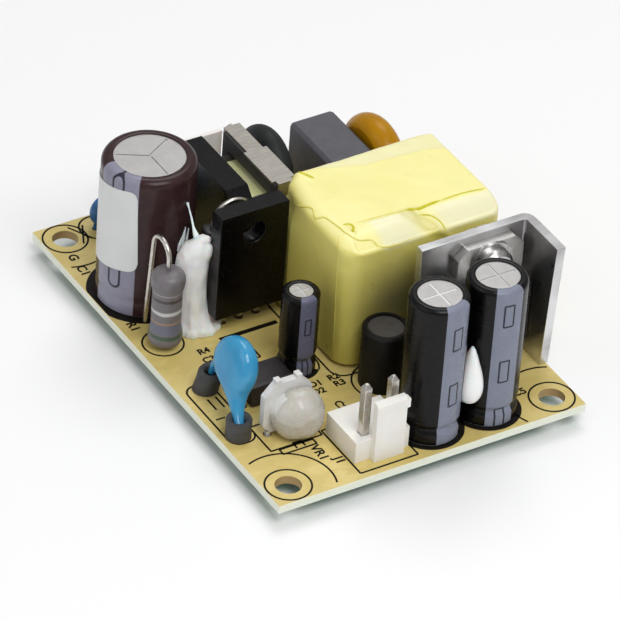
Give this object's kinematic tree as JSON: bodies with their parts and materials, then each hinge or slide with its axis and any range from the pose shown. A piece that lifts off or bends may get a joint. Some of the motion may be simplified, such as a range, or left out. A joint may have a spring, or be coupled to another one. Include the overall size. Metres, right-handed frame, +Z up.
{
  "type": "switching power supply",
  "caption": "Small open-frame switching power supply: a printed board with transformer, capacitors, heatsink and pin headers.",
  "frame": {"origin": "centre of the mounting holes, at the underside of the board", "axes": "+X from the input header to the output header, +Y across the width, +Z up from the board"},
  "size_m": [0.0636, 0.0459, 0.0248],
  "materials": {
    "laminate": "glass-epoxy laminate with a thin satin coat",
    "solder": "bright solder",
    "can_aluminium": "drawn aluminium",
    "bulk_sleeve": "glossy dark maroon shrink sleeve",
    "black_sleeve": "glossy black shrink sleeve",
    "label": "blank white film",
    "ferrite": "sintered ferrite",
    "copper": "enamelled copper wire",
    "tinned": "tinned wire",
    "resistor_coat": "lacquered body with coloured bands",
    "blue_coat": "glossy blue epoxy dip",
    "sleeve_rubber": "soft dark sleeve",
    "trimmer_plastic": "white moulding",
    "sealing_glue": "hard translucent drop",
    "nylon": "cream-white nylon",
    "yellow_tape": "pale yellow polyester tape",
    "bobbin_plastic": "black moulding",
    "filter_tape": "yellow-green tape",
    "clip_steel": "sheet steel",
    "grey_plastic": "slate grey moulding",
    "ochre_coat": "ochre epoxy dip",
    "green_coat": "dark green-black coat",
    "black_epoxy": "moulded black epoxy",
    "diode_coat": "moulded black body",
    "heatsink_aluminium": "brushed sheet",
    "tab_metal": "plated copper tab",
    "screw_steel": "plated steel",
    "silicone": "white silicone",
    "fuse_plastic": "brown-black moulding",
    "chip_ceramic": "ceramic chip"
  },
  "bodies": {
    "root": {"board": "laminate", "solder_joints": "solder", "bulk_capacitor_can": "can_aluminium", "bulk_capacitor_sleeve": "bulk_sleeve", "rating_label": "label", "output_capacitor_a_can": "can_aluminium", "output_capacitor_a_sleeve": "black_sleeve", "output_capacitor_b_can": "can_aluminium", "output_capacitor_b_sleeve": "black_sleeve", "supply_capacitor_can": "can_aluminium", "supply_capacitor_sleeve": "black_sleeve", "output_choke_core": "ferrite", "output_choke_winding": "copper", "output_choke_sleeve": "black_sleeve", "power_resistor": "resistor_coat", "power_resistor_lead": "tinned", "y_capacitor": "blue_coat", "y_capacitor_sleeves": "sleeve_rubber", "trimmer_base": "trimmer_plastic", "trimmer_rotor": "trimmer_plastic", "trimmer_seal": "sealing_glue", "output_header": "nylon", "output_header_pins": "tinned", "input_header": "nylon", "input_header_pins": "tinned", "transformer_wrap": "yellow_tape", "transformer_core_half_a": "ferrite", "transformer_core_half_b": "ferrite", "transformer_bobbin": "bobbin_plastic", "transformer_winding": "copper", "bobbin_pins": "tinned", "line_filter_core_a": "ferrite", "line_filter_core_b": "ferrite", "line_filter_bobbin": "bobbin_plastic", "line_filter_winding": "filter_tape", "line_filter_clip": "clip_steel", "x_capacitor": "grey_plastic", "fuse": "fuse_plastic", "varistor": "ochre_coat", "thermistor": "green_coat", "input_y_capacitor": "blue_coat", "bridge_rectifier": "black_epoxy", "bridge_rectifier_leads": "tinned", "power_transistor": "black_epoxy", "power_transistor_leads": "tinned", "snubber_diode": "diode_coat", "heatsink": "heatsink_aluminium", "output_rectifier_tab": "tab_metal", "output_rectifier": "black_epoxy", "output_rectifier_leads": "tinned", "heatsink_screw": "screw_steel", "screw_washer": "screw_steel", "heatsink_nut": "screw_steel", "optocoupler": "black_epoxy", "glue_column": "silicone", "glue_fillet": "silicone", "control_ic": "black_epoxy", "chip_resistors": "chip_ceramic", "chip_capacitors": "chip_ceramic", "surface_diodes": "black_epoxy"}
  },
  "joints": []
}
